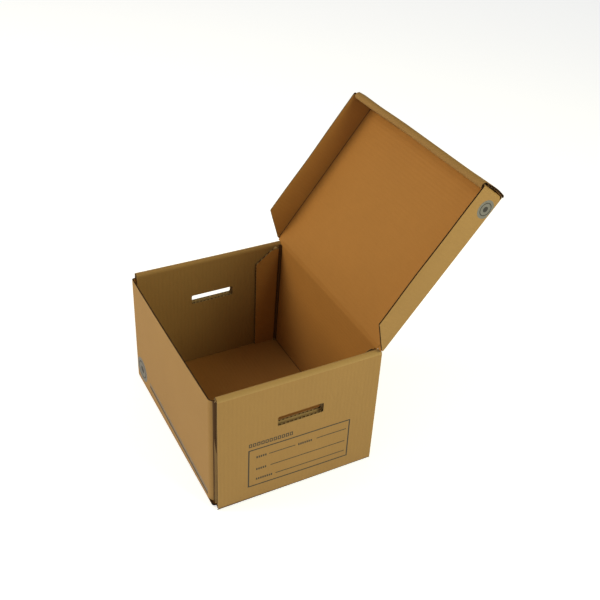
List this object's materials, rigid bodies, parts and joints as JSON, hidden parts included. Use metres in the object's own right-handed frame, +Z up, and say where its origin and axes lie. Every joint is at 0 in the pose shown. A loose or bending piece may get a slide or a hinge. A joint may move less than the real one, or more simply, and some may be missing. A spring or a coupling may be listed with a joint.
{
  "type": "archive box",
  "caption": "Corrugated board archive box with rolled double end walls, a hand hole in each end, corner flaps and an attached lid that swings on its crease.",
  "frame": {"origin": "middle of the tray's underside, on the table", "axes": "+Z up, +X along the hinge towards the labelled end, -Y towards the front wall, the lid hinges at +Y"},
  "size_m": [0.406, 0.512, 0.5479],
  "materials": {
    "kraft_tray": "matt brown kraft liner",
    "kraft_lid": "matt brown kraft liner"
  },
  "bodies": {
    "box": {"tray": "kraft_tray"},
    "lid": {"lid": "kraft_lid"}
  },
  "joints": [
    {"name": "lid_crease", "type": "hinge", "parent": "box", "child": "lid", "pos_m": [0, 0.156, 0.2545], "axis": [-1, 0, 0], "range_deg": [-127, 78]}
  ]
}
